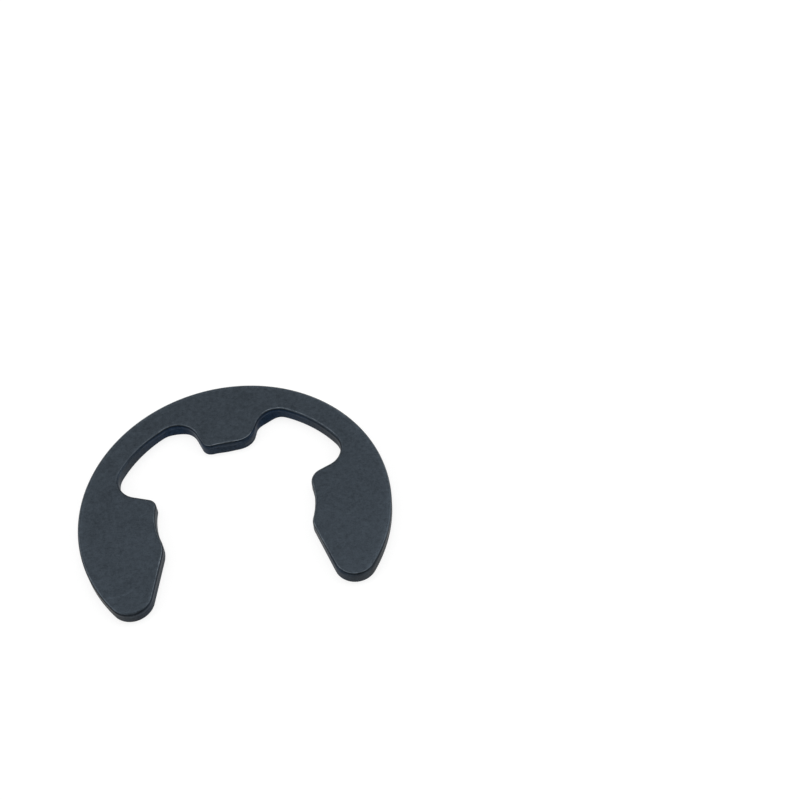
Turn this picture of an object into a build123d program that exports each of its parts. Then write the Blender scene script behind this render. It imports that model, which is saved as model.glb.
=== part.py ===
from build123d import *
from math import radians, sqrt, tan
import os

# E-type retaining ring for a 24 mm shaft groove, stamped from 2 mm spring steel.
#
# The clip lies flat with its lower face on z = 0.  The Z axis is the axis of the shaft it grips.
# The mouth opens towards -Y and the centre lug points down from the top of the bow.
# Lengths are in millimetres and angles in degrees.

# What fits the shaft and the groove
seat_radius = 11.2  # the three lugs seat on this circle
thickness = 2.0  # fits across the groove

# The sprung bow, which joins the lugs
lug_length = 7.05  # from the seat out to the inside of the bow
band_width = 3.75  # width of the bow beside the side lugs
bow_extra = 0.35  # how much wider the bow is behind the centre lug

# Centre lug
centre_lug_width = 6.75  # across its corners at the seat
centre_lug_flare = 19.0  # lean of each side from the Y axis, wider towards the bow
centre_left_radius = 1.35  # the die cuts the left corner sharper than the right
centre_right_radius = 2.55
centre_root_radius = 3.2

# Side lugs, which taper into the two prongs beside the mouth
shoulder_height = 3.2  # upper corner of the seat, above the shaft axis
shoulder_slope = 22.0  # rise of the shoulder towards the bow
shoulder_left_radius = 1.4
shoulder_right_radius = 2.2
shoulder_root_radius = 3.15
nose_depth = 4.65  # lower corner of the seat, below the shaft axis
nose_left_radius = 4.2
nose_right_radius = 2.2
prong_taper = 15.5  # lean of the inner side of each prong from the Y axis
tip_radius = 3.0

# Edges left by the press: rolled where the punch went in, barely broken below
upper_edge_radius = 0.45
lower_edge_radius = 0.2

recess_radius = seat_radius + lug_length
outer_radius = recess_radius + band_width
beyond = outer_radius + band_width  # safely outside the disc, for the edges of cutting shapes


def seat_point(offset):
    """The other coordinate of the point on the seat circle that lies this far off one axis."""
    return sqrt(seat_radius**2 - offset**2)


def mirrored(*right_side):
    """A closed shape from the points of its right side and their mirror images in the Y axis."""
    left_side = [(-x, y) for x, y in reversed(right_side) if x > 0]
    return make_face(Polyline(*right_side, *left_side, close=True))


def centre_lug():
    """Wedge that widens from the seat into the bow.  Its lower end lies inside the seat circle."""
    corner_x = centre_lug_width / 2
    corner_y = seat_point(corner_x)
    lean = tan(radians(centre_lug_flare))
    top_y = outer_radius - band_width / 2
    low_y = corner_y / 2
    return mirrored((corner_x + (top_y - corner_y) * lean, top_y), (corner_x + (low_y - corner_y) * lean, low_y))


def prong_blank():
    """Everything below the two shoulders, before the seat and the mouth are cut out of it."""
    rise = tan(radians(shoulder_slope))
    middle_y = shoulder_height - seat_point(shoulder_height) * rise
    return mirrored((0, middle_y), (beyond, middle_y + beyond * rise), (beyond, -beyond))


def mouth():
    """The way in for the shaft, which widens from the noses to the tips."""
    nose_x = seat_point(nose_depth)
    lean = tan(radians(prong_taper))
    return mirrored((nose_x - nose_depth * lean, 0), (nose_x + (beyond - nose_depth) * lean, -beyond))


def sharp_outline():
    """The stamped outline before its corners are rounded."""
    recess = Pos(0, -bow_extra) * Circle(recess_radius)
    lugs = centre_lug() + prong_blank()
    return Circle(outer_radius) - (recess - lugs) - Circle(seat_radius) - mouth()


def rounded_outline():
    """The outline with every corner rounded.

    Its corners come in pairs, left and right, listed here from the tips up.  They are rounded from
    the top down, so that the pairs below keep their places in the order.
    """
    lug_limit = lug_length / 2  # a lug's side holds a root and a corner
    shoulder_root = min(shoulder_root_radius, lug_limit)
    centre_root = min(centre_root_radius, lug_limit)
    pair_radii = [
        (tip_radius, tip_radius),
        (nose_left_radius, nose_right_radius),
        (shoulder_left_radius, shoulder_right_radius),
        (shoulder_root, shoulder_root),
        (centre_left_radius, centre_right_radius),
        (centre_root, centre_root),
    ]
    outline = sharp_outline()
    for pair in reversed(range(len(pair_radii))):
        left, right = outline.vertices().group_by(Axis.Y)[pair].sort_by(Axis.X)
        left_radius, right_radius = pair_radii[pair]
        outline = fillet(right, right_radius)
        outline = fillet(outline.vertices().sort_by_distance(left)[0], left_radius)
    return outline


def e_clip():
    """The whole clip, with the rims of its two faces rounded as the press leaves them."""
    clip = extrude(rounded_outline(), thickness)
    clip = fillet(clip.faces().sort_by(Axis.Z)[-1].edges(), upper_edge_radius)
    return fillet(clip.faces().sort_by(Axis.Z)[0].edges(), lower_edge_radius)


os.makedirs("parts", exist_ok=True)
export_step(e_clip(), "parts/e_clip.step")
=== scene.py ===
"""An E-type retaining ring stamped from spring steel and blackened, lying on a pale table.

It is laid out as an add-on and is run as a script.
Lengths are in metres.  The Z axis is the axis of the shaft that the clip grips, the clip lies
with its lower face on z = 0, its mouth opens towards -Y and its centre lug points down from the
top of the bow.
"""

import math

import bmesh
import bpy
from mathutils import Matrix, Vector


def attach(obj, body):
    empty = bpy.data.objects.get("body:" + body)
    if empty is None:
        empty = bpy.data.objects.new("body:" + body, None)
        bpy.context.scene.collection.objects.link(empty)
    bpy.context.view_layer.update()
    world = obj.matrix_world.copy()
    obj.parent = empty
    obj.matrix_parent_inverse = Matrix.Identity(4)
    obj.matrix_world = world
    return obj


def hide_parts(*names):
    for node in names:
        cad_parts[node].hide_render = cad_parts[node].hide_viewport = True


bl_info = {
    "name": "E Clip",
    "version": (1, 0, 0),
    "blender": (4, 5, 0),
    "location": "3D View > Sidebar > E Clip",
    "description": "Builds a blackened spring steel retaining ring and a pale table to show it on",
    "category": "Add Mesh",
}

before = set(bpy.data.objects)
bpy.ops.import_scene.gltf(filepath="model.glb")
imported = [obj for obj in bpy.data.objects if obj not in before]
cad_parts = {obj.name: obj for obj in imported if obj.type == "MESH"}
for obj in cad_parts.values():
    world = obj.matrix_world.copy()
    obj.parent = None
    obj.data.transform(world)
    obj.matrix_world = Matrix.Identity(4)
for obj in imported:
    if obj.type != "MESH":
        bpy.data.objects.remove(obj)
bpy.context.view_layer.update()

MM = 0.001
PANEL_TAB = "E Clip"

# The mesh
SAME_PLACE = 0.001 * MM  # vertices nearer to each other than this are one
SAME_HEIGHT = 0.01 * MM
ROLL_SEGMENTS = 8  # faces across the rolled edge
BREAK_SEGMENTS = 4  # and across the lower edge's small break
WALL_LOOPS = (0.4, 0.65, 0.9, 1.15, 1.35)  # heights that cut the wall into rings, in millimetres
ROOT_STOP = 3  # on each side's route, the stop that the root beside the centre lug leads to
DROP = "drop"  # the mesh's attribute that says how far down the edge a place is

# Where the sheet tore in the die, the wall swells
SWELL_REACH = 2.6 * MM  # from the swelling's middle out to where it ends
SWELL_DEPTH = 1.25 * MM  # from its start under the rolled edge down to its full size
SEAT_SWELL_X = -0.2 * MM  # its middle on the centre lug's seat
RIGHT_SWELL_TURN = math.radians(117)  # its middle on the right root, from the X axis
LEFT_SWELL_TURN = math.radians(87)

# How large the features of each pattern in the finish are
GRAIN = 0.16 * MM
MOTTLE = 0.55 * MM
CLOUDS = 3.0 * MM
FLECKS = 0.22 * MM
FLECK_STRETCH = 2.4
UNEVENNESS = 1.3 * MM
# the gaps that break up the painted highlight along the rolled edge
HIGHLIGHT_BREAKS = 0.45 * MM
STREAKS = 0.14 * MM
STREAK_STRETCH = 6.0
TORN_GRAINS = 0.17 * MM
TORN_STRETCH = 1.7
RELIEF = 0.002 * MM  # how deep the patterns are felt
MIDDLING = (0.25, 0.75)  # the numbers between which nearly all of the noise lies

# Bands down the edge, as stops of (millimetres from the upper face along the surface, number)
EDGE_END = 2.5  # a little past where the lower face starts, in millimetres
HIGHEST_STOP = 2.0  # a ramp's colours hold the numbers as shares of this
# Painted light and shade down the edge: the roll is painted lighter as a highlight, the wall
# darker as painted shade, and the wall's foot darker still as a painted contact shadow
EDGE_LIGHT_AND_SHADE = (
    (0.06, 1.0),
    (0.3, 1.1),
    (0.4, 0.6),
    (1.6, 0.62),
    (1.9, 0.62),
    (2.06, 0.52),
    (2.24, 1.0),
)
EDGE_ROUGHNESS = (
    (0.05, 1.0),
    (0.2, 0.85),
    (0.45, 0.9),
    (0.9, 1.0),
    (1.0, 1.2),
    (2.0, 1.2),
    (2.2, 1.0),
)
# The painted highlight along the rolled edge
HIGHLIGHT_LINE = ((0.13, 0.0), (0.2, 0.25), (0.26, 0.95), (0.3, 0.3), (0.34, 0.0))
SHADOWY_LINE = ((0.34, 0.0), (0.42, 0.42), (0.54, 0.36), (0.68, 0.0))
SHEARED_BAND = ((0.4, 0.0), (0.5, 1.0), (0.85, 1.0), (1.0, 0.0))
TEAR_LINE = ((0.86, 0.0), (0.96, 0.22), (1.06, 0.0))
TORN_BAND = ((0.85, 0.0), (1.0, 1.0), (2.0, 1.0), (2.2, 0.0))


def spot(x, y):
    """A place on the clip, looking down on it, in millimetres."""
    return (x * MM, y * MM, 0.0)


# Places where the finish and its painted light and shade differ: each is a spot, how far it
# reaches in millimetres, and how far out it has faded away
AXIS = spot(0.0, 0.0)
RIGHT_RECESS = (spot(14.0, 14.0), 8.0, 10.0)
BANDS_RAISED = (  # and how much higher up the edge the bands lie there
    (spot(15.2, -13.5), 2.0, 7.0, 0.8),
    (spot(17.0, -5.0), 7.5, 11.0, -0.2),
    (spot(-15.0, 9.0), 3.0, 7.5, 0.6),
    (*RIGHT_RECESS, 0.2),
    (spot(-3.2, 10.9), 1.0, 2.4, 0.5),
    (spot(2.9, 12.0), 0.8, 2.2, 1.2),
)
RAISING_FADES = (0.8, 1.9)  # between these distances down the edge, in millimetres
# where the painted highlight along the rolled edge lies higher
HIGHLIGHT_LINE_RAISED = (*RIGHT_RECESS, 1.5)
FAINT_SHADOW = 0.3  # what is left of the shadowy line
SHADOW_FAINT = (
    (spot(-10.5, -8.5), 3.5, 6.5),
    (spot(16.5, -3.0), 6.5, 9.5),
    (spot(-15.5, 7.5), 4.5, 8.0),
)
HIGHLIGHT_SPOTS = (  # and how strong the painted highlight along the rolled edge is there
    (spot(-24.0, -2.0), 9.0, 16.0, 0.6),
    (spot(4.6, 14.1), 1.7, 2.5, 0.05),
    (spot(2.9, 12.0), 0.5, 1.3, 1.6),
    (spot(-15.0, -12.0), 3.5, 6.5, 0.25),
    (spot(16.0, -6.0), 6.0, 8.0, 0.55),
    (spot(14.0, -14.0), 3.5, 6.0, 0.7),
    (spot(-15.5, 7.5), 4.0, 16.0, 0.1),
    (spot(17.0, 5.0), 2.0, 8.0, 0.3),
    (spot(21.5, -7.5), 5.0, 9.0, 0.05),
    (spot(-4.4, 13.2), 1.7, 2.9, 0.25),
)
WALL_PAINTED_LIGHT = (  # and how much painted light makes the wall paler there
    (spot(-4.0, 12.2), 0.8, 2.2, 0.2),
    (spot(-16.3, 7.0), 2.0, 4.5, 0.4),
)
# where the painted highlight along the outer rim is left out
RIM_HIGHLIGHT_GONE = (spot(-19.0, -12.0), 7.0, 13.0)
RIGHT_ROOT = spot(6.4, 15.3)  # where the navy-tinted painted shade on the wall is deepest, as in the left root
SCRATCH_CENTRE = spot(-17.12, -7.66)
SCRATCH_RADIUS = 3.75 * MM
SCRATCH_WIDTH = 0.14 * MM
SCRATCH_MIDDLE = (spot(-16.3, -11.3), 1.6, 2.3)
SPECK = (spot(-16.63, -4.96), 0.1, 0.35)
MARK_STRENGTH = 0.16

# Rings round the axis where a number changes outwards: the radii in millimetres where it starts
# and ends to change, and the number before and after
FACE_PALES = (19.8, 21.6, 1.0, 1.06)
# a painted highlight along the outer rim
RIM_PALES = (21.2, 21.5, 0.0, 0.2)
# the painted highlight along the rolled edge is weaker at the outer rim
HIGHLIGHT_LESS = (21.5, 21.7, 1.0, 0.6)
BRINK_DARKENS = (21.75, 21.95, 0.0, -0.35)
# the navy tint of the painted shade on the wall fades outwards
BLUE_FADES = (18.5, 21.0, 1.0, 0.2)

# The table and its surroundings, in metres
TABLE_HALF = 0.7
TABLE_ROUGHNESS = 0.8
TABLE_GLOW = 1.13  # how brightly the table shows where it is plain white
SHADOW_REACH = (0.1, 0.5)  # from the clip, where the table starts and ends to turn plain white
SHADOW_SHARE = 0.7  # how much of the table's look is plain white beside the clip
WALLS_TOP = (0.4, 0.6)  # sine of the height where the white walls start and end to give way
LAMPS = (  # name, place, size and power in watts
    ("overhead", (0.0, 0.12, 0.5), 0.5, 1.33),
    ("left", (-0.5, 0.0, 0.3), 0.4, 0.9),
    ("right", (0.5, 0.05, 0.3), 0.4, 0.9),
)
CAMERA_PLACE = (0.009477, -0.095779, 0.140629)
CAMERA_RIGHT = Vector((0.98238, -0.18477, -0.02800))
CAMERA_DOWN = Vector((-0.16158, -0.76454, -0.62400))
CAMERA_AHEAD = Vector((0.09389, 0.61753, -0.78092))
SENSOR_WIDTH = 36.0  # in millimetres
CAMERA_CLIP = (0.01, 10.0)


# ---------------------------------------------------------------- properties


def length(name, description, millimetres):
    """A length that a user can change."""
    return bpy.props.FloatProperty(
        name=name,
        description=description,
        default=millimetres * MM,
        min=0.0,
        precision=5,
        subtype="DISTANCE",
        unit="LENGTH",
    )


def lean(name, description, degrees):
    """An angle that a user can change."""
    return bpy.props.FloatProperty(
        name=name,
        description=description,
        default=math.radians(degrees),
        subtype="ANGLE",
        unit="ROTATION",
    )


def colour(name, description, red, green, blue):
    """A colour that a user can change, given as it looks on a screen, from 0 to 255."""
    return bpy.props.FloatVectorProperty(
        name=name,
        description=description,
        default=tuple(on_screen(c / 255) for c in (red, green, blue)),
        min=0.0,
        max=1.0,
        size=3,
        subtype="COLOR",
    )


def share(name, description, value, highest=1.0):
    """A plain number that a user can change."""
    return bpy.props.FloatProperty(
        name=name, description=description, default=value, min=0.0, max=highest
    )


def on_screen(value):
    """The linear light behind one channel of a colour as it looks on a screen."""
    return value / 12.92 if value <= 0.04045 else ((value + 0.055) / 1.055) ** 2.4


class ClipSizes(bpy.types.PropertyGroup):
    """The shape of the clip"""

    seat_radius: length("Seat radius", "Circle that the three lugs seat on", 11.2)
    thickness: length("Thickness", "Thickness of the sheet", 2.0)
    lug_length: length("Lug length", "From the seat out to the inside of the bow", 7.05)
    band_width: length("Band width", "Width of the bow beside the side lugs", 3.75)
    bow_extra: length("Bow extra", "How much wider the bow is behind the centre lug", 0.35)
    centre_width: length("Centre lug width", "Across its corners at the seat", 6.75)
    centre_flare: lean("Centre lug flare", "Lean of each side from the Y axis", 19.0)
    centre_left: length("Centre left corner", "Radius of the centre lug's left corner", 1.35)
    centre_right: length("Centre right corner", "Radius of the centre lug's right corner", 2.55)
    centre_root: length("Centre root", "Radius where the centre lug meets the bow", 3.2)
    shoulder_height: length("Shoulder height", "Upper corner of a side lug above the axis", 3.2)
    shoulder_slope: lean("Shoulder slope", "Rise of the shoulder towards the bow", 22.0)
    shoulder_left: length("Left shoulder", "Radius of the left shoulder's corner", 1.4)
    shoulder_right: length("Right shoulder", "Radius of the right shoulder's corner", 2.2)
    shoulder_root: length("Shoulder root", "Radius where a shoulder meets the bow", 3.15)
    nose_depth: length("Nose depth", "Lower corner of a side lug below the axis", 4.65)
    nose_left: length("Left nose", "Radius of the left nose", 4.2)
    nose_right: length("Right nose", "Radius of the right nose", 2.2)
    prong_taper: lean("Prong taper", "Lean of the inner side of each prong", 15.5)
    tip_radius: length("Tip radius", "Round end of each prong", 3.0)
    upper_edge: length("Upper edge", "Edge rolled over where the punch went in", 0.45)
    lower_edge: length("Lower edge", "Edge barely broken where the punch came out", 0.2)
    seat_swell: length("Seat swell", "How proud the torn wall stands under the centre lug", 0.26)
    right_swell: length("Right root swell", "The same in the right root", 0.46)
    left_swell: length("Left root swell", "The same in the left root", 0.25)
    step: length("Step", "Longest side of the mesh round the outline", 0.22)


class ClipFinish(bpy.types.PropertyGroup):
    """The blackened finish of the clip"""

    slate: colour("Slate", "The flat faces", 57, 64, 71)
    # The navy tints the painted shade on the walls, most deeply beside the centre lug
    navy: colour("Navy", "The bluest oxide, on the wall beside the centre lug", 40, 60, 84)
    # The colour of the painted highlight along the rolled edge, and of the real pale line where
    # the shear became a tear
    highlight_and_tear_colour: colour("Worn", "Steel that shows through where the rolled edge is rubbed", 108, 116, 123)
    roughness: share("Roughness", "How satin the faces are", 0.5)


class StageSettings(bpy.types.PropertyGroup):
    """The table, the lamps and the camera"""

    table: colour("Table", "The pale table top", 236, 236, 236)
    sky: share("Sky", "Even light from above", 0.22, 10.0)
    focal_length: bpy.props.FloatProperty(
        name="Focal length", description="Of the camera's lens, in millimetres", default=53.415
    )


# ---------------------------------------------------------------- the clip


def on_seat(sizes, offset):
    """The seat circle's other coordinate, where one of its two coordinates is `offset`."""
    return math.sqrt(sizes.seat_radius**2 - offset**2)


def blend(start, heading, shift, centre, reach):
    """Centre of the arc that rounds the corner between a straight side and a circle.

    The side runs from `start` towards `heading`, and the arc's centre is `shift` to its left,
    and `reach` from the circle's `centre`.
    """
    along = Vector((math.cos(heading), math.sin(heading)))
    left = Vector((-along.y, along.x))
    offset = start + left * shift - centre
    half = offset.dot(along)
    room = math.sqrt(half**2 - offset.length_squared + reach**2)
    beside = start + left * shift
    return min(
        (beside + along * (-half + room), beside + along * (-half - room)),
        key=lambda point: (point - start).length,
    )


def side_route(sizes, corner_radii):
    """The stops round one side of the clip, from the centre lug's middle to the top of the bow.

    Each stop is the centre of the arc that leads to it, or None for a straight side, and the
    point reached.
    """
    centre_corner, shoulder, nose = corner_radii
    axis = Vector((0, 0))
    bow_centre = Vector((0, -sizes.bow_extra))
    seat = sizes.seat_radius
    recess = seat + sizes.lug_length
    outer = recess + sizes.band_width
    half_width = sizes.centre_width / 2
    # Each straight side: where it leaves the seat and the way it runs
    lug = (
        Vector((half_width, on_seat(sizes, half_width))),
        math.pi / 2 - sizes.centre_flare,
    )
    top = (
        Vector((on_seat(sizes, sizes.shoulder_height), sizes.shoulder_height)),
        sizes.shoulder_slope,
    )
    prong = (
        Vector((on_seat(sizes, sizes.nose_depth), -sizes.nose_depth)),
        sizes.prong_taper - math.pi / 2,
    )
    # Each rounded corner: its side, its radius, where its centre lies, and its circle
    corners = [
        (lug, centre_corner, 1, axis, seat, 1),
        (lug, sizes.centre_root, -1, bow_centre, recess, -1),
        (top, sizes.shoulder_root, 1, bow_centre, recess, -1),
        (top, shoulder, -1, axis, seat, 1),
        (prong, nose, 1, axis, seat, 1),
        (prong, sizes.tip_radius, 1, axis, outer, -1),
    ]
    stops = []
    from_circle = True
    for (start, heading), radius, left, centre, circle, outwards in corners:
        arc = blend(start, heading, left * radius, centre, circle + outwards * radius)
        on_circle = centre + (arc - centre).normalized() * circle
        on_side = arc - left * radius * Vector((-math.sin(heading), math.cos(heading)))
        if from_circle:
            stops += [(centre, on_circle), (arc, on_side)]
        else:
            stops += [(None, on_side), (arc, on_circle)]
        from_circle = not from_circle
    return stops + [(axis, Vector((0, outer)))]


def walk_side(mesh, sizes, route, mirror):
    """Leads a vertex round one side of the clip and leaves its edges behind."""
    flip = Vector((mirror, 1))
    tail = mesh.verts.new((0, sizes.seat_radius, 0))
    for centre, stop in route:
        stop = stop * flip
        if centre is None:
            grown = bmesh.ops.extrude_vert_indiv(mesh, verts=[tail])
            tail = grown["verts"][0]
            tail.co.xy = stop
            continue
        centre = centre * flip
        before, after = tail.co.xy - centre, stop - centre
        angle = math.atan2(before.cross(after), before.dot(after))
        grown = bmesh.ops.spin(
            mesh,
            geom=[tail],
            cent=centre.to_3d(),
            axis=(0, 0, 1),
            angle=angle,
            steps=max(2, math.ceil(abs(angle) * after.length / sizes.step)),
        )
        tail = next(item for item in grown["geom_last"] if isinstance(item, bmesh.types.BMVert))


def rim(mesh, height):
    """The edges round one flat face of the blank."""
    return [
        edge
        for edge in mesh.edges
        if all(abs(vertex.co.z - height) < SAME_HEIGHT for vertex in edge.verts)
    ]


def clip_mesh(sizes):
    """The stamped clip: its outline walked, filled and given its thickness, then its edges."""
    mesh = bmesh.new()
    right = side_route(sizes, (sizes.centre_right, sizes.shoulder_right, sizes.nose_right))
    left = side_route(sizes, (sizes.centre_left, sizes.shoulder_left, sizes.nose_left))
    walk_side(mesh, sizes, right, 1)
    walk_side(mesh, sizes, left, -1)
    bmesh.ops.remove_doubles(mesh, verts=mesh.verts, dist=SAME_PLACE)
    bmesh.ops.contextual_create(mesh, geom=mesh.edges[:])
    grown = bmesh.ops.extrude_face_region(mesh, geom=mesh.faces[:])
    lifted = [item for item in grown["geom"] if isinstance(item, bmesh.types.BMVert)]
    bmesh.ops.translate(mesh, verts=lifted, vec=(0, 0, sizes.thickness))
    bmesh.ops.recalc_face_normals(mesh, faces=mesh.faces)
    for height, radius, segments in (
        (sizes.thickness, sizes.upper_edge, ROLL_SEGMENTS),
        (0.0, sizes.lower_edge, BREAK_SEGMENTS),
    ):
        bmesh.ops.bevel(
            mesh,
            geom=rim(mesh, height),
            offset=radius,
            offset_type="OFFSET",
            affect="EDGES",
            segments=segments,
            profile=0.5,
            material=-1,
        )
    for height in WALL_LOOPS:
        bmesh.ops.bisect_plane(
            mesh,
            geom=mesh.verts[:] + mesh.edges[:] + mesh.faces[:],
            plane_co=(0, 0, height * MM),
            plane_no=(0, 0, 1),
        )
    for face in mesh.faces:
        face.smooth = len(face.verts) < 5  # all but the upper and the lower face
    note_drop(mesh, sizes)
    seat_middle = Vector((SEAT_SWELL_X, sizes.seat_radius))
    swell_wall(mesh, sizes, seat_middle, -math.pi / 2, sizes.seat_swell)
    for route, mirror, turn, swell in (
        (right, 1, RIGHT_SWELL_TURN, sizes.right_swell),
        (left, -1, LEFT_SWELL_TURN, sizes.left_swell),
    ):
        root_centre = route[ROOT_STOP][0] * Vector((mirror, 1))
        middle = root_centre + sizes.centre_root * Vector((math.cos(turn), math.sin(turn)))
        swell_wall(mesh, sizes, middle, turn + math.pi, swell)
    return mesh


def swell_wall(mesh, sizes, middle, heading, proud):
    """Lets the lower part of the wall stand proud round a place where the sheet tore."""
    push = Vector((math.cos(heading), math.sin(heading)))
    for vertex in mesh.verts:
        near = 1 - (vertex.co.xy - middle).length / SWELL_REACH
        low = min(1.0, (sizes.thickness - sizes.upper_edge - vertex.co.z) / SWELL_DEPTH)
        if near > 0 and low > 0:
            amount = math.sin(near * math.pi / 2) ** 2 * math.sin(low * math.pi / 2) ** 2
            vertex.co.xy += push * proud * amount


def note_drop(mesh, sizes):
    """Notes at each vertex how far down the edge it is, along the surface from the upper face."""
    note = mesh.verts.layers.float.new(DROP)
    roll = sizes.upper_edge
    for vertex in mesh.verts:
        below = sizes.thickness - vertex.co.z
        turned = math.acos(max(-1.0, min(1.0, 1.0 - below / roll)))
        vertex[note] = roll * turned if below < roll else roll * math.pi / 2 + below - roll


def finished(mesh, name, material):
    """A new object in the scene, made of a mesh that is ready."""
    data = bpy.data.meshes.new(name)
    mesh.to_mesh(data)
    mesh.free()
    data.materials.append(material)
    piece = bpy.data.objects.new(name, data)
    bpy.context.scene.collection.objects.link(piece)
    return piece


# ---------------------------------------------------------------- finishes


class Recipe:
    """Adds nodes to a new material, each joined to those that feed it."""

    def __init__(self, name):
        self.material = bpy.data.materials.new(name)
        self.material.use_nodes = True
        self.tree = self.material.node_tree
        self.shader = self.tree.nodes["Principled BSDF"]
        self.surface = self.tree.nodes["Material Output"].inputs["Surface"]

    def feed(self, socket, value):
        """Joins a socket to another, or sets the number or colour on it."""
        if isinstance(value, bpy.types.NodeSocket):
            self.tree.links.new(value, socket)
        else:
            socket.default_value = value

    def add(self, kind, feeds, **settings):
        """A new node, with its settings and what feeds each of its sockets."""
        node = self.tree.nodes.new("ShaderNode" + kind)
        for name, value in settings.items():
            setattr(node, name, value)
        for name, value in feeds.items():
            self.feed(node.inputs[name], value)
        return node

    def fold(self, operation, values):
        """Joins many numbers by an operation on two."""
        total = values[0]
        for value in values[1:]:
            total = self.add("Math", {0: total, 1: value}, operation=operation).outputs[0]
        return total

    def sum(self, *values):
        return self.fold("ADD", values)

    def product(self, *values):
        return self.fold("MULTIPLY", values)

    def rest(self, amount):
        """What an amount leaves of one."""
        return self.fold("SUBTRACT", (1.0, amount))

    def noise(self, place, size, detail=2.0, roughness=0.5, distortion=0.0):
        """Soft cloudy noise whose features are about `size` across."""
        return self.add(
            "TexNoise",
            {
                "Vector": place,
                "Scale": 1 / size,
                "Detail": detail,
                "Roughness": roughness,
                "Distortion": distortion,
            },
        ).outputs["Fac"]

    def stretched(self, place, x, y, z):
        """Places squeezed along each axis, so that a pattern there comes out stretched."""
        node = self.add("VectorMath", {0: place, 1: (1 / x, 1 / y, 1 / z)}, operation="MULTIPLY")
        return node.outputs[0]

    def blended(self, amount, start, end):
        """A colour between two others."""
        node = self.add("Mix", {}, data_type="RGBA")
        self.feed(node.inputs["Factor"], amount)
        colours = [socket for socket in node.inputs if socket.type == "RGBA"]
        for socket, value in zip(colours, (start, end)):
            self.feed(socket, value)
        return next(socket for socket in node.outputs if socket.type == "RGBA")

    def away(self, place, centre):
        """How far a place is from a centre."""
        node = self.add("VectorMath", {0: place, 1: centre}, operation="DISTANCE")
        return node.outputs["Value"]

    def around(self, place, centre, near, far, inside, outside=1.0):
        """One number within `near` of a centre, which turns into another out to `far`."""
        return self.ranged(self.away(place, centre), near * MM, far * MM, inside, outside)

    def ranged(self, value, low, high, to_low=0.0, to_high=1.0):
        """Takes a number from one range to another."""
        return self.add(
            "MapRange",
            {
                "Value": value,
                "From Min": low,
                "From Max": high,
                "To Min": to_low,
                "To Max": to_high,
            },
        ).outputs["Result"]

    def edge_ramp(self, drop, stops):
        """Follows a number down the edge of the clip, through stops of (millimetres, number)."""
        node = self.add("ValToRGB", {"Fac": self.ranged(drop, 0.0, EDGE_END * MM)})
        points = node.color_ramp.elements
        while len(points) < len(stops):
            points.new(0.5)
        for point, (millimetres, number) in zip(points, stops):
            point.position = millimetres / EDGE_END
            point.color = (number / HIGHEST_STOP,) * 3 + (1,)
        return self.product(node.outputs["Color"], HIGHEST_STOP)


def raised_bands(steel, flat, drop):
    """How far down the edge a place counts as, given that the bands lie higher in some places."""
    raised = steel.sum(*(steel.around(flat, *part, 0.0) for part in BANDS_RAISED))
    start, end = RAISING_FADES
    upper = steel.ranged(drop, start * MM, end * MM, 1.0, 0.0)
    return steel.product(drop, steel.sum(1.0, steel.product(raised, upper)))


def shadow(steel, flat, drop, uneven):
    """What the shadowy line right under the roll leaves of the light."""
    line = steel.product(
        steel.edge_ramp(drop, SHADOWY_LINE),
        steel.ranged(uneven, 0.3, 0.7, 1.25, 0.75),
        *(steel.around(flat, *part, FAINT_SHADOW) for part in SHADOW_FAINT),
    )
    return steel.rest(line)


def painted_highlight_and_tear(steel, place, flat, drop, uneven):
    """How much pale colour shows: a painted highlight along the roll, and more faintly a real pale
    line where the shear became a tear.
    """
    raised = steel.product(drop, steel.around(flat, *HIGHLIGHT_LINE_RAISED))
    highlight_breaks = steel.noise(place, HIGHLIGHT_BREAKS, distortion=0.3)
    line = steel.product(
        steel.edge_ramp(raised, HIGHLIGHT_LINE),
        steel.around(flat, AXIS, *HIGHLIGHT_LESS),
        steel.ranged(uneven, 0.3, 0.7, 0.55, 1.3),
        steel.ranged(highlight_breaks, 0.36, 0.64, 0.25, 1.75),
        *(steel.around(flat, *part) for part in HIGHLIGHT_SPOTS),
    )
    tear = steel.product(
        steel.edge_ramp(drop, TEAR_LINE), steel.ranged(uneven, 0.4, 0.6, 0.0, 1.0)
    )
    return steel.sum(line, tear)


def marks(steel, flat, drop):
    """One faint curved scratch and one rubbed speck on the left prong's face."""
    face = steel.ranged(drop, 0.0, 0.05 * MM, 1.0, 0.0)
    ring = steel.add(
        "Math",
        {0: steel.away(flat, SCRATCH_CENTRE), 1: SCRATCH_RADIUS, 2: SCRATCH_WIDTH},
        operation="COMPARE",
    ).outputs[0]
    scratch = steel.product(ring, steel.around(flat, *SCRATCH_MIDDLE, MARK_STRENGTH, 0.0))
    speck = steel.around(flat, *SPECK, MARK_STRENGTH, 0.0)
    return steel.product(steel.sum(scratch, speck), face)


def outer_light_and_shade(steel, flat, on_wall):
    """How much paler the face is towards its outer rim, with a painted highlight along the rim,
    painted light on parts of the wall, and a darker outer brink.
    """
    face = steel.around(flat, AXIS, *FACE_PALES)
    rim_highlight = steel.product(
        steel.around(flat, AXIS, *RIM_PALES), steel.around(flat, *RIM_HIGHLIGHT_GONE, 0.0)
    )
    wall = steel.product(
        steel.sum(*(steel.around(flat, *part, 0.0) for part in WALL_PAINTED_LIGHT)), on_wall
    )
    brink = steel.around(flat, AXIS, *BRINK_DARKENS)
    return steel.sum(face, rim_highlight, wall, brink)


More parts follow.
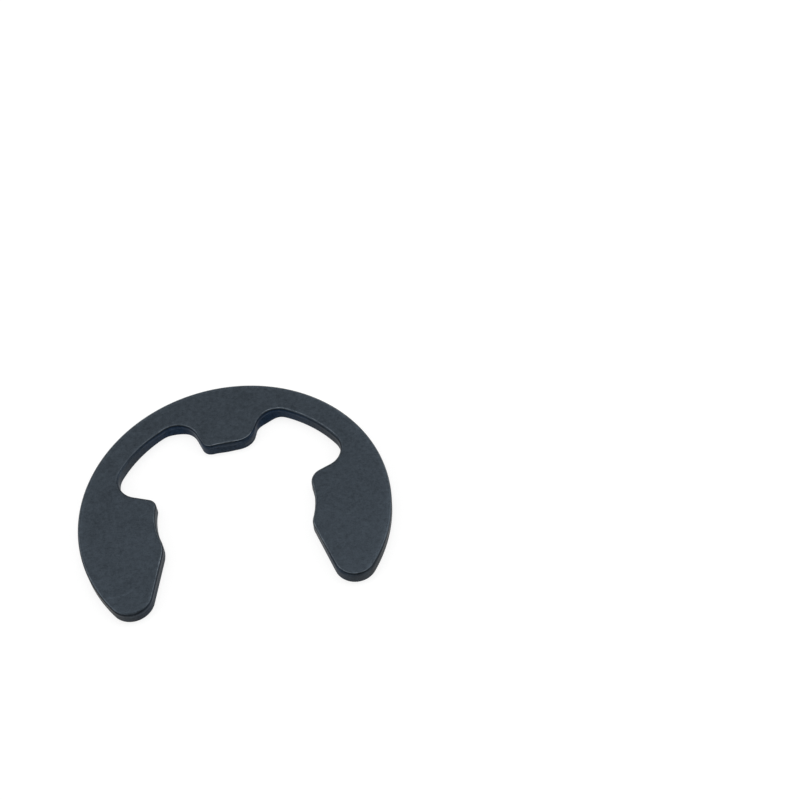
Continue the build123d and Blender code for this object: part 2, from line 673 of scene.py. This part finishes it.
def blackened_steel(finish):
    """Satin blue-black steel: mottled faces, a painted highlight along the rolled edge, and a
    sheared and torn wall in painted shade.
    """
    steel = Recipe("blackened steel")
    place = steel.add("TexCoord", {}).outputs["Object"]
    flat = steel.add("VectorMath", {0: place, 1: (1, 1, 0)}, operation="MULTIPLY").outputs[0]
    drop = steel.add("Attribute", {}, attribute_name=DROP).outputs["Fac"]
    drop = raised_bands(steel, flat, drop)
    # All over, the oxide is grained, mottled, flecked with dark and a little clouded
    grain = steel.noise(place, GRAIN)
    mottle = steel.noise(place, MOTTLE, distortion=0.4)
    clouds = steel.noise(place, CLOUDS, detail=1.0)
    flecks = steel.noise(steel.stretched(place, FLECK_STRETCH, 1.0, 1.0), FLECKS, detail=1.0)
    uneven = steel.noise(place, UNEVENNESS)
    tone = steel.sum(
        steel.ranged(grain, *MIDDLING, -0.22, 0.22),
        steel.ranged(mottle, *MIDDLING, -0.22, 0.22),
        steel.ranged(flecks, 0.3, 0.42, -0.14, 0.01),
        steel.ranged(clouds, *MIDDLING, 0.94, 1.06),
    )
    # On the wall, faint upright streaks where it was sheared, and rough grains where it tore
    streaks = steel.noise(steel.stretched(place, 1.0, 1.0, STREAK_STRETCH), STREAKS, detail=1.0)
    grains = steel.noise(
        steel.stretched(place, TORN_STRETCH, TORN_STRETCH, 1.0),
        TORN_GRAINS,
        detail=3.0,
        roughness=0.6,
    )
    sheared = steel.edge_ramp(drop, SHEARED_BAND)
    torn = steel.edge_ramp(drop, TORN_BAND)
    on_wall = steel.sum(sheared, torn)
    broken = steel.sum(
        1.0,
        steel.product(steel.ranged(streaks, *MIDDLING, -0.2, 0.2), sheared),
        steel.product(steel.ranged(grains, *MIDDLING, -0.5, 0.5), torn),
    )
    # Painted shade on the wall: tinted towards navy, and darkest, beside the centre lug
    folded = steel.add("VectorMath", {0: flat}, operation="ABSOLUTE").outputs[0]
    blue_shade = steel.product(
        steel.around(folded, RIGHT_ROOT, 2.5, 9.0, 0.85, 0.15),
        steel.around(flat, AXIS, *BLUE_FADES),
        on_wall,
    )
    root_shade = steel.product(steel.around(folded, RIGHT_ROOT, 2.0, 5.0, 0.12, 0.0), on_wall)
    # The level scales the oxide colour by its own tone, marks and wall texture, and by painted
    # light and shade: the edge's painted highlight and shade, the shadowy line, the painted shade
    # in the roots, and the painted rim highlight with the paler outer rim
    level = steel.product(
        steel.sum(steel.edge_ramp(drop, EDGE_LIGHT_AND_SHADE), marks(steel, flat, drop)),
        shadow(steel, flat, drop, uneven),
        tone,
        broken,
        steel.rest(root_shade),
        outer_light_and_shade(steel, flat, on_wall),
    )
    lit_and_shaded_oxide = steel.blended(blue_shade, (*finish.slate, 1), (*finish.navy, 1))
    lit_and_shaded_oxide = steel.add("VectorMath", {0: lit_and_shaded_oxide, "Scale": level}, operation="SCALE").outputs[0]
    # A painted highlight along the roll, and the real pale tear line, both in that pale colour
    highlight_and_tear_share = painted_highlight_and_tear(steel, place, flat, drop, uneven)
    look = steel.blended(highlight_and_tear_share, lit_and_shaded_oxide, (*finish.highlight_and_tear_colour, 1))
    steel.feed(steel.shader.inputs["Base Color"], look)
    # The roll is burnished, the shear less so, and the tear is dull
    rough = steel.sum(
        steel.ranged(mottle, 0.3, 0.7, finish.roughness - 0.04, finish.roughness + 0.04),
        steel.ranged(grain, 0.3, 0.7, -0.04, 0.04),
    )
    rough = steel.product(rough, steel.edge_ramp(drop, EDGE_ROUGHNESS))
    steel.feed(steel.shader.inputs["Roughness"], rough)
    steel.feed(steel.shader.inputs["Metallic"], 1.0)
    relief = steel.sum(grain, steel.product(streaks, sheared), steel.product(grains, torn, 4.0))
    bump = steel.add("Bump", {"Height": relief, "Strength": 1.0, "Distance": RELIEF})
    steel.feed(steel.shader.inputs["Normal"], bump.outputs["Normal"])
    return steel.material


def table_paint(stage):
    """Matt paint that looks nearly plain white, so that the clip's shadow on it is faint."""
    paint = Recipe("pale table")
    paint.feed(paint.shader.inputs["Base Color"], (*stage.table, 1))
    paint.feed(paint.shader.inputs["Roughness"], TABLE_ROUGHNESS)
    glow = paint.add("Emission", {"Strength": TABLE_GLOW})
    path = paint.add("LightPath", {})
    rays = ("Is Camera Ray", "Is Glossy Ray", "Is Transmission Ray")
    seen = paint.sum(*(path.outputs[ray] for ray in rays))
    # Farther out it is wholly white, so that the table's edge isn't seen
    place = paint.add("TexCoord", {}).outputs["Object"]
    plain = paint.ranged(paint.away(place, AXIS), *SHADOW_REACH, SHADOW_SHARE, 1.0)
    lift = paint.product(seen, plain)
    mixed = paint.add("MixShader", {0: lift, 1: paint.shader.outputs[0], 2: glow.outputs[0]})
    paint.feed(paint.surface, mixed.outputs[0])
    return paint.material


# ---------------------------------------------------------------- the stage


def surround(scene, sky):
    """White walls round the table up to about 25 degrees, under an even dimmer sky."""
    world = scene.world or bpy.data.worlds.new("studio")
    scene.world = world
    world.use_nodes = True
    nodes, links = world.node_tree.nodes, world.node_tree.links
    background = nodes["Background"]
    background.inputs["Color"].default_value = (1, 1, 1, 1)
    towards = nodes.new("ShaderNodeTexCoord")
    split = nodes.new("ShaderNodeSeparateXYZ")
    links.new(towards.outputs["Generated"], split.inputs[0])
    strength = nodes.new("ShaderNodeMapRange")
    links.new(split.outputs["Z"], strength.inputs["Value"])
    walls_end, sky_start = WALLS_TOP
    for name, value in (
        ("From Min", walls_end),
        ("From Max", sky_start),
        ("To Min", 1.0),
        ("To Max", sky),
    ):
        strength.inputs[name].default_value = value
    links.new(strength.outputs["Result"], background.inputs["Strength"])


def hang_lamp(scene, name, place, size, power):
    """A soft square lamp that faces the clip."""
    lamp = bpy.data.lights.new(name, "AREA")
    lamp.energy = power
    lamp.size = size
    holder = bpy.data.objects.new(name, lamp)
    holder.location = place
    holder.rotation_mode = "QUATERNION"
    holder.rotation_quaternion = (-Vector(place)).to_track_quat("-Z", "Y")
    scene.collection.objects.link(holder)


def place_camera(scene, focal_length):
    """The camera that the scene is looked at through."""
    camera = bpy.data.cameras.new("camera")
    camera.lens = focal_length
    camera.sensor_width = SENSOR_WIDTH
    camera.clip_start, camera.clip_end = CAMERA_CLIP
    viewer = bpy.data.objects.new("camera", camera)
    turn = Matrix((CAMERA_RIGHT, -CAMERA_DOWN, -CAMERA_AHEAD)).transposed()
    viewer.matrix_world = Matrix.Translation(CAMERA_PLACE) @ turn.to_4x4()
    scene.collection.objects.link(viewer)
    scene.camera = viewer


# ---------------------------------------------------------------- operators


class ECLIP_OT_make_clip(bpy.types.Operator):
    """Build the blackened steel clip"""

    bl_idname = "eclip.make_clip"
    bl_label = "Make clip"

    def execute(self, context):
        mesh = clip_mesh(context.scene.clip_sizes)
        if not mesh.faces:
            raise RuntimeError("the clip's outline did not close")
        clip = finished(mesh, "stamped_clip", blackened_steel(context.scene.clip_finish))
        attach(clip, "root")
        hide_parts("e_clip")
        return {"FINISHED"}


class ECLIP_OT_set_stage(bpy.types.Operator):
    """Lay out the table, the lamps and the camera"""

    bl_idname = "eclip.set_stage"
    bl_label = "Set stage"

    def execute(self, context):
        scene = context.scene
        stage = scene.clip_stage
        mesh = bmesh.new()
        bmesh.ops.create_grid(mesh, x_segments=1, y_segments=1, size=TABLE_HALF)
        table = finished(mesh, "table", table_paint(stage))
        surround(scene, stage.sky)
        for lamp in LAMPS:
            hang_lamp(scene, *lamp)
        place_camera(scene, stage.focal_length)
        scene.view_settings.view_transform = "Standard"
        return {"FINISHED"}


class ECLIP_PT_panel(bpy.types.Panel):
    """Lists what the add-on builds, and the sizes and colours that go into it"""

    bl_idname = "ECLIP_PT_panel"
    bl_label = "E Clip"
    bl_space_type = "VIEW_3D"
    bl_region_type = "UI"
    bl_category = PANEL_TAB

    def draw(self, context):
        scene = context.scene
        for operator, group in (
            (ECLIP_OT_make_clip, scene.clip_sizes),
            (None, scene.clip_finish),
            (ECLIP_OT_set_stage, scene.clip_stage),
        ):
            if operator:
                self.layout.operator(operator.bl_idname)
            for name in group.bl_rna.properties.keys():
                if name not in ("rna_type", "name"):
                    self.layout.prop(group, name)


CLASSES = (
    ClipSizes,
    ClipFinish,
    StageSettings,
    ECLIP_OT_make_clip,
    ECLIP_OT_set_stage,
    ECLIP_PT_panel,
)


def register():
    """Makes the operators, the panel and the settings known to Blender."""
    for item in CLASSES:
        bpy.utils.register_class(item)
    bpy.types.Scene.clip_sizes = bpy.props.PointerProperty(type=ClipSizes)
    bpy.types.Scene.clip_finish = bpy.props.PointerProperty(type=ClipFinish)
    bpy.types.Scene.clip_stage = bpy.props.PointerProperty(type=StageSettings)


def unregister():
    """Takes back what register made known."""
    del bpy.types.Scene.clip_stage
    del bpy.types.Scene.clip_finish
    del bpy.types.Scene.clip_sizes
    for item in reversed(CLASSES):
        bpy.utils.unregister_class(item)


def main():
    """Builds the clip and its stage."""
    register()
    bpy.ops.eclip.make_clip()
    bpy.ops.eclip.set_stage()


if __name__ == "__main__":
    main()
